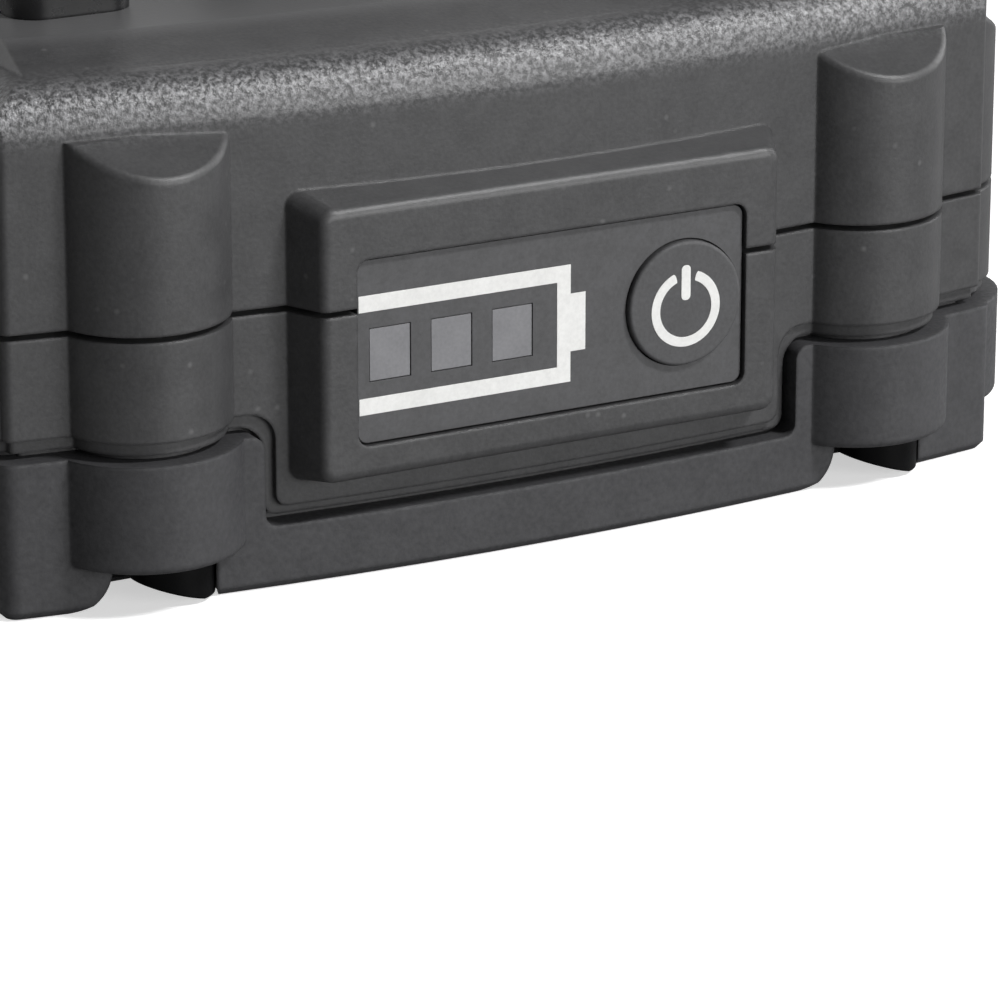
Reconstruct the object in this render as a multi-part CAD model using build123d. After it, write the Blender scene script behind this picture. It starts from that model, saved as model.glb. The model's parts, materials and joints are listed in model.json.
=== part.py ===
from build123d import *
import math
import os

# A slide-on battery pack for cordless tools: five cells lie side by side across the pack.
# +X is right, +Y runs from the gauge face to the terminal end, +Z is up.
# The origin is the middle of the footprint, on the surface that the pack stands on. Millimetres.

# Cells
cell_count = 5
cell_diameter = 18.5
cell_length = 65.2
cell_gap = 0.7
cell_button_radius = 3.6
cell_button_height = 0.4
cell_edge_radius = 0.8

# Case walls, floors and the clearances inside
wall = 2.6
floor_thickness = 2.0
boot_floor = 1.6
foam_height = 0.4
holder_floor = 0.5
holder_end_wall = 1.0
end_room = 6.35
side_room = 2.8
fit = 0.1
running = 0.2
seam = 0.42
overrun = 0.2

# Case outline
bow_radius = 230.0
corner_radius = 0.6
seam_above_axis = 5.25
board_lift = 1.5
board_thickness = 1.6
deck_above_board = 10.1
deck_thickness = 2.4
shoulder_drop = 1.1
shoulder_radius = 3.2
apron_depth = 9.5
apron_side = 4.5
tongue_height = 1.4
tongue_thickness = 0.9

# Half-round columns, one by each end of every wall
column_half_width = 5.6
column_proud = 3.6
column_from_side = 10.2
column_from_end = 9.4
cap_below_deck = 4.75
cap_drop = 2.15
cap_rim_radius = 0.5

# Soft bumper and the grooves that it sits in
boot_height = 10.8
boot_proud = 0.7
seat_depth = 1.3
boot_fit = 0.05
boot_ledge = 9.0
band_depth = 0.45
band_height = 0.9
band_width = 0.65
groove_width = 0.45
window_margin = 1.8
window_bottom = 4.4
window_corner = 0.9
arch_radius = 1.9
boot_edge = 0.5

# Screw wells and the arched notches in front of them
screw_inset = 0.9
screw_shift = 1.2
screw_radius = 1.5
screw_head_radius = 2.1
screw_head_height = 2.0
screw_head_top = 6.4
screw_reach = 21.6
screw_slot_width = 0.7
screw_slot_depth = 1.0
well_radius = 2.3
well_wall = 0.9
well_rim = 0.6
well_rim_lift = 0.3
well_rim_slant = 17
boss_radius = 3.1
notch_wide_side = 3.6
notch_near_side = 3.5
notch_reach = 4.2
foot_radius = 3.0
bulge_bottom = 3.3
bulge_floor = 1.2
bulge_rim = 0.5

# Gauge bezel and the panel let into it
bezel_proud = 2.2
bezel_slope_side = 1.5
bezel_slope_below = 0.4
bezel_slope_above = 1.1
bezel_margin_side = 2.6
bezel_margin_below = 2.4
bezel_margin_above = 3.7
bezel_root_depth = 1.2
bezel_corner = 1.1
bezel_edge = 0.7
bezel_pocket_margin = 0.9
panel_width = 29.6
panel_height = 12.6
panel_thickness = 1.0
panel_corner = 0.75
panel_recess = 0.35
panel_below_seam = 2.8
panel_gap = 0.16
panel_backing = 1.2

# Indicator windows, their lamps and the press button
lamp_count = 3
lamp_pitch = 4.63
lamp_width = 3.0
lamp_height = 3.6
lamp_group_inset = 7.05
lamp_drop = 0.25
guide_fit = 0.06
guide_room = 1.1
chip_width = 1.6
chip_height = 1.0
chip_depth = 0.6
button_inset = 4.67
button_radius = 4.4
button_ring_gap = 0.1
button_dome = 0.45
button_edge = 0.22
button_travel = 0.5
flange_radius = 5.0
flange_thickness = 0.5
plunger_radius = 0.9
plunger_room = 1.1
switch_width = 5.0
switch_depth = 1.6

# Gauge board, its carrier and the light baffle
gauge_board_side_margin = 0.7
gauge_board_rise_margin = 0.9
gauge_board_thickness = 1.2
carrier_margin = 2.5
carrier_thickness = 1.5
carrier_lip = 1.4
carrier_lip_depth = 1.0
baffle_margin = 1.0

# Rails for the tool, screwed to the deck
rail_from_nose = 15.7
rail_tail_room = 8.0
rail_from_side = 16.1
rail_web = 4.6
rail_lip_width = 8.4
rail_foot_width = 8.8
rail_height = 8.3
rail_foot_height = 1.6
rail_groove_height = 3.5
rail_nose_radius = 2.2
rail_tail_chamfer = 1.2
rail_screw_radius = 1.25
rail_screw_head_radius = 2.3
rail_screw_head_height = 1.3
rail_screw_length = 6.0
rail_screw_share = (0.12, 0.5, 0.88)

# Tower between the rails
tower_gap = 0.3
tower_height = 6.8
tower_wall = 2.2
tower_front = 41.0
tower_edge = 0.8
block_from_tower_front = 30.0
block_edge = 0.5

# Release latch
latch_front = 21.0
latch_length = 17.0
latch_half_width = 11.5
latch_gap = 0.3
latch_travel = 4.0
latch_pad_height = 6.2
latch_pad_length = 7.6
latch_pad_slope = 2.2
latch_pad_lip = 1.0
latch_bridge_height = 1.2
latch_flange = 1.7
latch_flange_height = 1.4
latch_edge = 0.5
hook_half_width = 7.0
hook_length = 4.6
hook_height = 11.2
hook_ramp = 3.4
guide_depth = 2.8
guide_wall = 1.6
grip_count = 4
grip_pitch = 1.5
grip_width = 0.6
grip_depth = 0.45
spring_offset = 6.6
spring_radius = 2.1
spring_wire_radius = 0.3
spring_turns = 5
spring_pocket_radius = 2.9
spring_pocket_depth = 3.6
spring_seat_gap = 0.1
peg_radius = 1.3
peg_height = 2.4
retainer_side_margin = 3.0
retainer_thickness = 1.7
retainer_lift = 0.2
retainer_margin = 1.4
post_room = 2.3
post_radius = 2.3
post_screw_radius = 1.0
post_screw_head_radius = 1.8
post_screw_head_height = 0.9
post_screw_length = 6.0

# Protection board, its parts, the terminal block and the contacts
board_side_inset = 1.6
board_front = 43.0
board_tail_room = 8.6
board_post_radius = 2.4
board_screw_radius = 1.0
board_screw_head_radius = 1.9
board_screw_head_height = 1.2
board_screw_length = 3.6
board_screw_inset = 3.4
mosfet_count = 4
mosfet_width = 5.0
mosfet_length = 6.0
mosfet_height = 1.1
mosfet_pitch = 8.0
mosfet_row = 6.0
chip_side = 7.0
chip_thickness = 0.9
chip_row = 15.0
capacitor_row = 9.0
capacitor_count = 3
capacitor_radius = 2.0
capacitor_height = 4.6
capacitor_pitch = 6.0
resistor_count = 8
resistor_width = 1.0
resistor_length = 2.0
resistor_height = 0.6
resistor_pitch = 3.0
resistor_row = 21.5
block_side_inset = 3.7
block_gap = 0.35
slot_count = 5
slot_side_room = 3.3
slot_width = 1.8
slot_length = 19.0
slot_depth = 12.6
leaf_thickness = 0.5
leaf_gap = 0.8
leaf_length = 12.0
leaf_height = 9.0
leaf_pinch = 0.25
leaf_base = 0.8
leaf_pinch_share = 0.33

# Strips, sheets, tabs, ribbon and sensor
strip_width = 8.0
strip_thickness = 0.15
strip_slot_width = 0.8
strip_slot_length = 4.0
sheet_thickness = 0.25
sheet_margin = 1.2
tab_width = 3.0
tab_thickness = 0.2
tab_overlap = 2.0
tab_on_board = 1.2
ring_thickness = 0.2
ring_hole_radius = 4.6
ribbon_width = 5.0
ribbon_thickness = 0.2
ribbon_pad = 2.5
ribbon_channel_height = 0.55
sensor_radius = 1.0
sensor_lead_radius = 0.25
sensor_lead_gap = 1.0
sensor_hole_radius = 2.2
foam_width = 9.0
foam_offset = 22.0
base_plate_side_inset = 5.7
base_plate_end_inset = 16.7
base_plate_thickness = 0.3
base_plate_corner = 3.0

# Places and levels worked out from the sizes above
cell_radius = cell_diameter / 2
cell_pitch = cell_diameter + cell_gap
row_half_length = ((cell_count - 1) * cell_pitch + cell_diameter) / 2
holder_half_length = row_half_length + holder_end_wall
half_length = holder_half_length + end_room
holder_half_width = cell_length / 2
half_width = holder_half_width + side_room + wall
board_half_width = holder_half_width - board_side_inset
front = -half_length
floor_top = boot_floor + floor_thickness
holder_bottom = floor_top + foam_height
cell_axis = holder_bottom + holder_floor + cell_radius
holder_top = cell_axis + cell_radius + holder_floor
seam_level = cell_axis + seam_above_axis
board_bottom = holder_top + board_lift
board_top = board_bottom + board_thickness
deck = board_top + deck_above_board
deck_under = deck - deck_thickness
shoulder = deck - shoulder_drop
tower_top = deck + tower_height
rail_top = deck + rail_height
cap_level = deck - cap_below_deck
column_radius = (column_half_width**2 + column_proud**2) / (2 * column_proud)
column_centre_depth = column_radius - column_proud
column_x = half_width - column_from_side
column_y = half_length - column_from_end
window_top = boot_height + groove_width + band_height
bezel_face_half_width = panel_width / 2 + bezel_margin_side
bezel_root_half_width = bezel_face_half_width + bezel_slope_side
bezel_face_below_seam = panel_below_seam + panel_height / 2 + bezel_margin_below
bezel_root_below_seam = bezel_face_below_seam + bezel_slope_below
bezel_face_above_seam = panel_height / 2 - panel_below_seam + bezel_margin_above
bezel_root_above_seam = bezel_face_above_seam + bezel_slope_above
window_half_width = bezel_root_half_width + window_margin
panel_level = seam_level - panel_below_seam
bezel_face = front - bezel_proud
panel_face = bezel_face + panel_recess
panel_back = panel_face + panel_thickness
pocket_wall = panel_back + panel_backing
lamp_level = panel_level - lamp_drop
lamp_group_offset = lamp_group_inset - panel_width / 2
button_offset = panel_width / 2 - button_inset
gauge_board_width = panel_width + 2 * gauge_board_side_margin
gauge_board_height = panel_height + 2 * gauge_board_rise_margin
carrier_width = gauge_board_width + 2 * carrier_margin
rail_inner = half_width - rail_from_side
tower_y = front + tower_front
tower_half_width = rail_inner - tower_gap
block_half_width = tower_half_width - block_side_inset
block_y = tower_y + block_from_tower_front
slot_pitch = 2 * (block_half_width - slot_side_room - slot_width / 2) / (slot_count - 1)
rail_y = front + rail_from_nose
rail_end = half_length - rail_tail_room
latch_y = front + latch_front
latch_end = latch_y + latch_length
post_offset = latch_half_width + latch_gap + guide_wall + post_room + post_radius
retainer_half_width = post_offset + retainer_side_margin
guide_bottom = deck_under - guide_depth
latch_bottom = guide_bottom - running - latch_flange_height
retainer_bottom = holder_top + retainer_lift
retainer_top = retainer_bottom + retainer_thickness
board_y = front + board_front
board_end = half_length - board_tail_room
block_top = tower_top - block_gap / 2
strip_x = cell_length / 2
sill = boot_ledge + seat_depth
base_plate_half_width = half_width - sill - base_plate_side_inset
base_plate_half_length = half_length - sill - base_plate_end_inset


# Distance from the end of the case to its bowed wall, at a distance from the middle
def bow(across):
    return bow_radius - math.sqrt(bow_radius**2 - across**2)


screw_y = half_length - bow(column_x) - screw_inset
end_column_y = half_length - bow(column_x) - column_centre_depth
side_column_x = half_width - column_centre_depth
gauge_board_back = front + wall + bow(carrier_width / 2) + running
gauge_board_front = gauge_board_back - gauge_board_thickness


# A block between two corners
def block(x0, x1, y0, y1, z0, z1):
    middle = Pos((x0 + x1) / 2, (y0 + y1) / 2, (z0 + z1) / 2)
    return middle * Box(x1 - x0, y1 - y0, z1 - z0)


# An upright round bar
def post(x, y, radius, z0, z1):
    return Pos(x, y, (z0 + z1) / 2) * Cylinder(radius, z1 - z0)


# A round bar along the pack, from the gauge face towards the terminals
def rod_y(x, z, radius, y0, y1):
    return Pos(x, (y0 + y1) / 2, z) * Rot(X=90) * Cylinder(radius, y1 - y0)


# A round bar across the pack
def rod_x(y, z, radius, x0, x1):
    return Pos((x0 + x1) / 2, y, z) * Rot(Y=90) * Cylinder(radius, x1 - x0)


# Plan outline of the case, grown outwards or shrunk inwards by an even amount
def case_plan(grow, shrink_side=0, shrink_end=0):
    side = half_width + grow - shrink_side
    end = half_length + grow - shrink_end
    radius = bow_radius + grow
    corner_y = end - radius + math.sqrt(radius**2 - side**2)
    front_arc = ThreePointArc((-side, -corner_y), (0, -end), (side, -corner_y))
    right = Line((side, -corner_y), (side, corner_y))
    back_arc = ThreePointArc((side, corner_y), (0, end), (-side, corner_y))
    left = Line((-side, corner_y), (-side, -corner_y))
    outline = make_face(front_arc + right + back_arc + left)
    return fillet(outline.vertices(), max(corner_radius + grow, corner_radius / 2))


# Every column's centre in plan, with the turn that points its front outwards
def column_places():
    ends = [(x, y, 0 if y < 0 else 180)
            for x in (-column_x, column_x) for y in (-end_column_y, end_column_y)]
    sides = [(x, y, 90 if x > 0 else -90)
             for x in (-side_column_x, side_column_x) for y in (-column_y, column_y)]
    return ends + sides


# Plan outline with the eight column bulges
def bulged_plan(grow):
    outline = case_plan(grow)
    for x, y, turn in column_places():
        outline += Pos(x, y) * Circle(column_radius + grow)
    return outline


# The eight column bulges as upright bars, with their lower rims rounded
def bulges(grow, z0, z1, rounding=0):
    bars = []
    for x, y, turn in column_places():
        bar = post(x, y, column_radius + grow, z0, z1)
        bars.append(fillet(bar.edges().sort_by(Axis.Z)[0], rounding) if rounding else bar)
    return bars


# The case outline as an upright block
def slab(plan, z0, z1):
    return Pos(0, 0, z0) * extrude(plan, z1 - z0)


# The two notches' places at each end, under the columns
def notch_places():
    return [(x, y) for x in (-column_x, column_x) for y in (-screw_y, screw_y)]


# The screws' places, set over to the near side of each notch
def screw_places():
    return [(x + screw_shift, y) if y < 0 else (x - screw_shift, y) for x, y in notch_places()]


# A front-view outline pushed through the front half of the pack
def through_front(sketch):
    start = front - column_proud - boot_proud - overrun
    return Pos(0, start, 0) * Rot(X=90) * extrude(sketch, start)


# Outline that stays proud above the bumper and runs down round the bezel
def skirt_outline(top, half, bottom):
    reach = half_width + column_proud + overrun
    upper = Pos(0, (top + seam_level) / 2) * Rectangle(2 * reach, seam_level - top)
    lower = Pos(0, (bottom + seam_level) / 2) * Rectangle(2 * half, seam_level - bottom)
    outline = upper + lower
    inner = [v for v in outline.vertices() if abs(abs(v.X) - half) < fit and abs(v.Y - top) < fit]
    outer = [v for v in outline.vertices() if abs(v.Y - bottom) < fit]
    outline = fillet(inner, arch_radius)
    outer = [v for v in outline.vertices() if abs(v.Y - bottom) < fit]
    return fillet(outer, window_corner)


# The outside of the lower shell, stepped back where the bumper sits
def lower_outside():
    band_top = window_top
    groove_top = boot_height + groove_width
    seat = seat_block()
    band_plan = slab(bulged_plan(-band_depth), boot_floor, seam_level)
    full_plan = slab(bulged_plan(0), boot_floor, seam_level)
    half = window_half_width - groove_width
    groove_bottom = window_bottom + groove_width
    band_front = through_front(skirt_outline(groove_top, half, groove_bottom))
    full_front = through_front(skirt_outline(band_top, half - band_width, groove_bottom + band_width))
    reach = half_width + column_proud + overrun
    back = half_length + column_proud
    band_back = block(-reach, reach, 0, back, groove_top, seam_level)
    full_back = block(-reach, reach, 0, back, band_top, seam_level)
    band = band_plan & (band_front + band_back)
    full = full_plan & (full_front + full_back)
    return seat + band + full


# The raised block round the gauge panel
def bezel():
    root_z0 = seam_level - bezel_root_below_seam
    root_z1 = seam_level + bezel_root_above_seam
    face_z0 = seam_level - bezel_face_below_seam
    face_z1 = seam_level + bezel_face_above_seam
    root_plane = Plane(origin=(0, front + bezel_root_depth, 0), x_dir=(1, 0, 0), z_dir=(0, -1, 0))
    face_plane = Plane(origin=(0, bezel_face, 0), x_dir=(1, 0, 0), z_dir=(0, -1, 0))
    root_size = Rectangle(2 * bezel_root_half_width, root_z1 - root_z0)
    face_size = Rectangle(2 * bezel_face_half_width, face_z1 - face_z0)
    root = root_plane * Pos(0, (root_z0 + root_z1) / 2) * root_size
    face = face_plane * Pos(0, (face_z0 + face_z1) / 2) * face_size
    solid = loft([root, face])
    halfway = (front + bezel_root_depth + bezel_face) / 2
    slanted = [e for e in solid.edges() if abs(e.center().Y - halfway) < fit]
    solid = fillet(slanted, bezel_corner)
    rim = solid.faces().sort_by(Axis.Y)[0].edges()
    return fillet(rim, bezel_edge)


# Recess for the panel, openings behind it and the room for the gauge board
def bezel_cuts():
    panel = panel_solid(panel_gap, bezel_face - overrun, panel_back)
    cuts = panel
    for x in lamp_places():
        cuts += lamp_bar(x, guide_fit, panel_back - fit, pocket_wall + fit)
    cuts += rod_y(button_offset, panel_level, flange_radius + running, panel_back - fit, pocket_wall + fit)
    half = gauge_board_width / 2 + bezel_pocket_margin
    low = panel_level - gauge_board_height / 2 - bezel_pocket_margin
    high = panel_level + gauge_board_height / 2 + bezel_pocket_margin
    return cuts + block(-half, half, pocket_wall, front + wall + bow(half) + overrun, low, high)


# A block in the outline of the panel, between two distances along the pack
def panel_solid(grow, y0, y1):
    outline = RectangleRounded(panel_width + 2 * grow, panel_height + 2 * grow, panel_corner + grow)
    plane = Plane(origin=(0, y0, panel_level), x_dir=(1, 0, 0), z_dir=(0, -1, 0))
    return extrude(plane * outline, y0 - y1)


def lamp_places():
    first = lamp_group_offset - lamp_pitch * (lamp_count - 1) / 2
    return [first + lamp_pitch * i for i in range(lamp_count)]


# A bar in the outline of one window
def lamp_bar(x, grow, y0, y1):
    half = lamp_width / 2 + grow
    rise = lamp_height / 2 + grow
    return block(x - half, x + half, y0, y1, lamp_level - rise, lamp_level + rise)


# A column with a sloped cap, standing on the seam
def capped_column(x, y, turn, z0):
    wall_y = -column_centre_depth
    tall = cap_level + column_radius
    column = post(0, 0, column_radius, z0, tall)
    slope = math.degrees(math.atan2(cap_drop, column_proud))
    reach = 4 * column_radius
    above = Pos(0, 0, reach / 2) * Box(reach, reach, reach)
    column -= Pos(0, wall_y, cap_level) * Rot(X=slope) * above
    column = fillet(column.faces().sort_by(Axis.Z)[-1].edges(), cap_rim_radius)
    column -= Pos(0, 0, cap_level) * above
    return Pos(x, y, 0) * Rot(Z=turn) * column


# A round disc whose rim is the bowed end wall, with a rounded or a sloped top edge
def end_disc(side, z0, z1, rounding):
    disc = post(0, side * (half_length - bow_radius), bow_radius, z0, z1)
    return fillet(disc.edges().filter_by(GeomType.CIRCLE).sort_by(Axis.Z)[-1], rounding)


# The raised deck: flat, with a sloped apron towards the gauge end and along both sides
def deck_plate():
    near = bow_radius - shoulder_radius - fit
    far = bow_radius - apron_depth
    centre = bow_radius - half_length
    steep = Pos(0, centre, (shoulder + deck) / 2) * Cone(near, far, deck - shoulder)
    square = post(0, -centre, near, shoulder, deck)
    wide = half_width - shoulder_radius - fit
    narrow = half_width - apron_side
    edge = Polyline((-wide, shoulder), (wide, shoulder), (narrow, deck), (-narrow, deck), close=True)
    across = Plane(origin=(0, half_length, 0), x_dir=(1, 0, 0), z_dir=(0, -1, 0)) * make_face(edge)
    return steep & square & extrude(across, 2 * half_length)


# The outside of the upper shell: shoulder, sloped apron, deck, columns and tower
def upper_outside():
    base = seam_level + seam
    body = block(-half_width, half_width, -half_length, half_length, base, shoulder)
    long_rims = [e for e in body.edges().filter_by(Axis.Y) if e.center().Z > shoulder - overrun]
    body = fillet(long_rims, shoulder_radius)
    for end in (1, -1):
        body = body & end_disc(end, base, shoulder, shoulder_radius)
    body = body & slab(case_plan(0), base, shoulder)
    body += deck_plate()
    for x, y, turn in column_places():
        body += capped_column(x, y, turn, base)
    tower = block(-tower_half_width, tower_half_width, tower_y, rail_end, deck - deck_thickness, tower_top)
    upright = tower.edges().filter_by(Axis.Z)
    tower = fillet(upright, tower_edge)
    return body + tower


# Hollow of the case: straight walls below, a step up to the underside of the deck
def upper_hollow():
    high_shoulder = shoulder - wall
    lower = slab(case_plan(-wall), seam_level - overrun, high_shoulder)
    lower += bulges(-wall, seam_level - overrun, cap_level - cap_drop - wall)
    side = half_width - apron_side - wall / 2
    near = front + apron_depth + wall / 2
    far = half_length - wall - shoulder_radius
    upper = block(-side, side, near, far, high_shoulder - overrun, deck_under)
    inner = tower_half_width - tower_wall
    room = block(-inner, inner, tower_y + tower_wall, rail_end - tower_wall,
                 deck_under - fit, tower_top - tower_wall)
    return lower + upper + room


def make_upper_shell():
    shell = upper_outside() + (bezel() & high_side())
    shell -= upper_hollow()
    for x, y in screw_places():
        boss = post(x, y, boss_radius, seam_level + seam, high_screw())
        shell += boss
    rebate = slab(bulged_plan(-wall + tongue_thickness + fit), seam_level, seam_level + tongue_height + fit)
    shell -= rebate - slab(bulged_plan(-wall - overrun), seam_level, deck)
    for x, y in screw_places():
        shell -= post(x, y, screw_radius + boot_fit, seam_level, screw_head_top + screw_reach + fit)
    shell -= bezel_cuts()
    shell += latch_guide()
    shell -= latch_well(0, guide_bottom - overrun, deck + overrun)
    for side in (-1, 1):
        shell += post(side * post_offset, latch_middle(), post_radius, retainer_top, deck_under + fit)
        shell -= post(side * post_offset, latch_middle(), post_screw_radius + boot_fit, retainer_top - fit,
                      retainer_bottom + post_screw_length + fit)
    shell -= block_room()
    for x, y in rail_screws():
        shell -= post(x, y, rail_screw_radius + fit, deck_under - overrun, deck + overrun)
    return shell


# Half space above the seam
def high_side():
    reach = half_length * 2
    return block(-reach, reach, -reach, reach, seam_level + seam, deck)


def high_screw():
    return cap_level - cap_drop


def latch_middle():
    return (latch_y + latch_end) / 2


# The opening that the latch works in
def latch_well(grow, z0, z1):
    gap = latch_gap + grow
    return block(-latch_half_width - gap, latch_half_width + gap, latch_y - gap, latch_end + gap, z0, z1)


# Walls under the deck that guide the latch
def latch_guide():
    outside = latch_well(guide_wall, guide_bottom, deck_under + fit)
    return outside - latch_well(0, guide_bottom - overrun, deck_under + overrun)


# Room for the terminal block, open at the top and at the tool end
def block_room():
    half = block_half_width + block_gap
    end = half_length
    deck_hole = block(-half, half, block_y - block_gap, rail_end + fit, deck_under - fit, tower_top + fit)
    return deck_hole & block(-half, half, front, end, 0, tower_top + fit)


def make_lower_shell():
    shell = lower_outside()
    top = seam_level
    shell += bezel() & block(-half_width, half_width, bezel_face - overrun, 0, 0, top)
    shell -= slab(case_plan(-wall), floor_top, seam_level + overrun)
    pocket_floor = bulge_bottom + bulge_floor + floor_thickness
    shell -= Compound(children=bulges(-wall, pocket_floor, seam_level + overrun))
    tongue = slab(bulged_plan(-wall + tongue_thickness), seam_level - wall, seam_level + tongue_height)
    shell += tongue - slab(bulged_plan(-wall), 0, deck)
    for x, y in screw_places():
        boss = post(x, y, boss_radius, boot_floor, seam_level)
        well = post(x, y, well_radius + well_wall, boot_floor, screw_head_top + floor_thickness)
        shell += (boss + well) & seat_block()
        shell += well_rim_solid(x, y)
        shell -= post(x, y, well_radius, -fit, screw_head_top)
        shell -= post(x, y, screw_radius + boot_fit, 0, seam_level + tongue_height + fit)
    shell -= bezel_cuts()
    plate = base_plate_solid(fit, boot_floor - fit, boot_floor + base_plate_thickness)
    return shell - plate


# The rim round one screw well, cut on a slant that rises towards the wide side of its notch
def well_rim_solid(x, y):
    radius = well_radius + well_rim
    rim = post(0, 0, radius, well_rim_lift, screw_head_top)
    below = block(-2 * radius, 0, -radius, radius, -screw_head_top, 0)
    rim -= Pos(well_radius / 2, 0, well_rim_lift) * Rot(Y=well_rim_slant) * below
    room = post(x, y, radius + overrun, 0, bulge_bottom + bulge_floor) + seat_block()
    return Pos(x, y, 0) * Rot(Z=0 if y < 0 else 180) * rim & room


# The part of the lower shell that the bumper fits round
def seat_block(grow=0, top=seam_level):
    seat = slab(case_plan(grow - seat_depth), boot_floor, top)
    return seat + bulges(grow - seat_depth, bulge_bottom + bulge_floor, top)


# The notch in front of one screw well, flared at the foot on its wide side
def notch_solid(x, y):
    top = bulge_bottom
    edge = -notch_wide_side
    low = -overrun
    foot = edge - foot_radius
    half_turn = foot_radius * math.sqrt(0.5)
    sides = Polyline((foot, 0), (foot, low), (notch_near_side, low), (notch_near_side, top), (edge, top),
                     (edge, foot_radius))
    flare = ThreePointArc((edge, foot_radius), (foot + half_turn, foot_radius - half_turn), (foot, 0))
    outline = make_face(sides + flare)
    near = column_radius + boot_proud + overrun + notch_reach
    solid = Pos(0, notch_reach, 0) * Rot(X=90) * extrude(outline, near)
    return Pos(x, y, 0) * Rot(Z=0 if y < 0 else 180) * solid


def make_boot():
    body = slab(case_plan(boot_proud), boot_edge, boot_height)
    foot = case_plan(boot_proud - boot_edge)
    rise = Pos(0, 0, boot_edge) * case_plan(boot_proud)
    body += loft([foot.face(), rise.face()], ruled=True)
    body += bulges(boot_proud, bulge_bottom, boot_height, bulge_rim)
    body -= seat_block(boot_fit, boot_height + overrun)
    body -= slab(case_plan(-sill), -overrun, boot_floor + overrun)
    tall = boot_height - window_bottom + overrun
    opening = Pos(0, window_bottom + tall / 2) * Rectangle(2 * window_half_width, tall)
    lower = [v for v in opening.vertices() if abs(v.Y - window_bottom) < fit]
    body -= through_front(fillet(lower, window_corner))
    round_off = arch_radius / 2
    for side in (-1, 1):
        middle = side * (window_half_width + round_off / 2)
        size = round_off + overrun
        corner = Pos(middle, boot_height - round_off / 2) * Rectangle(size, size)
        corner -= Pos(side * (window_half_width + round_off), boot_height - round_off) * Circle(round_off)
        beyond = side * (window_half_width + round_off + half_width / 2)
        outside = Pos(beyond, 0) * Rectangle(half_width, 2 * half_width)
        below = Pos(0, boot_height - round_off - half_width / 2) * Rectangle(4 * half_width, half_width)
        body -= through_front((corner - outside - below).face())
    for x, y in notch_places():
        body -= notch_solid(x, y)
    for x, y in screw_places():
        body -= post(x, y, well_radius + well_rim + running, -overrun, bulge_bottom + bulge_floor + overrun)
    return body


# A flat plate in the middle of the base
def base_plate_solid(grow, z0, z1):
    wide = 2 * (base_plate_half_width + grow)
    long = 2 * (base_plate_half_length + grow)
    return Pos(0, 0, z0) * extrude(RectangleRounded(wide, long, base_plate_corner), z1 - z0)


def make_base_plate():
    return base_plate_solid(0, boot_floor, boot_floor + base_plate_thickness)


# A case screw with its head at the bottom of the well
def case_screw(x, y):
    head = post(x, y, screw_head_radius, screw_head_top - screw_head_height, screw_head_top)
    shank = post(x, y, screw_radius, screw_head_top, screw_head_top + screw_reach)
    low = screw_head_top - screw_head_height
    long = 2 * screw_head_radius - screw_slot_width * 2
    across = Pos(x, y, low + screw_slot_depth / 2) * Box(long, screw_slot_width, screw_slot_depth)
    along = Pos(x, y, low + screw_slot_depth / 2) * Box(screw_slot_width, long, screw_slot_depth)
    return head + shank - across - along


def make_panel():
    plate = panel_solid(0, panel_face, panel_back)
    for x in lamp_places():
        plate -= lamp_bar(x, guide_fit, panel_face - fit, panel_back + fit)
    hole_radius = button_radius + button_ring_gap
    plate -= rod_y(button_offset, panel_level, hole_radius, panel_face - fit, panel_back + fit)
    return plate


def make_windows():
    bars = [lamp_bar(x, 0, panel_face + fit / 2, gauge_board_front - guide_room) for x in lamp_places()]
    return Compound(children=[Solid(bar.solid().wrapped) for bar in bars])


# The press button: a low dome, a stem through the panel and a flange behind it
def make_button():
    cap = rod_y(button_offset, panel_level, button_radius, panel_face - button_dome, panel_back + fit)
    cap = fillet(cap.edges().sort_by(Axis.Y)[0], button_edge)
    flange_y = panel_back + fit / 2
    flange = rod_y(button_offset, panel_level, flange_radius, flange_y, flange_y + flange_thickness)
    return cap + flange


def flange_back():
    return panel_back + fit / 2 + flange_thickness


def make_plunger():
    start = flange_back() + fit / 2
    return rod_y(button_offset, panel_level, plunger_radius, start, gauge_board_front - plunger_room)


def make_switch():
    half = switch_width / 2
    face = gauge_board_front - switch_depth
    body = block(button_offset - half, button_offset + half, face, gauge_board_front,
                 panel_level - half, panel_level + half)
    return body - rod_y(button_offset, panel_level, plunger_radius + fit, face - fit, gauge_board_front)


def make_gauge_board():
    half = gauge_board_width / 2
    rise = gauge_board_height / 2
    return block(-half, half, gauge_board_front, gauge_board_back, panel_level - rise, panel_level + rise)


def make_lamps():
    half = chip_width / 2
    rise = chip_height / 2
    return [block(x - half, x + half, gauge_board_front - chip_depth, gauge_board_front,
                  lamp_level - rise, lamp_level + rise) for x in lamp_places()]


# A dark frame that keeps the light of each lamp in its own window
def make_baffle():
    xs = lamp_places()
    half = lamp_width / 2 + baffle_margin
    rise = lamp_height / 2 + baffle_margin
    body = block(xs[0] - half, xs[-1] + half, pocket_wall + fit / 2, gauge_board_front - fit / 2,
                 lamp_level - rise, lamp_level + rise)
    for x in xs:
        body -= lamp_bar(x, guide_fit, pocket_wall, gauge_board_front)
    return body


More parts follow.
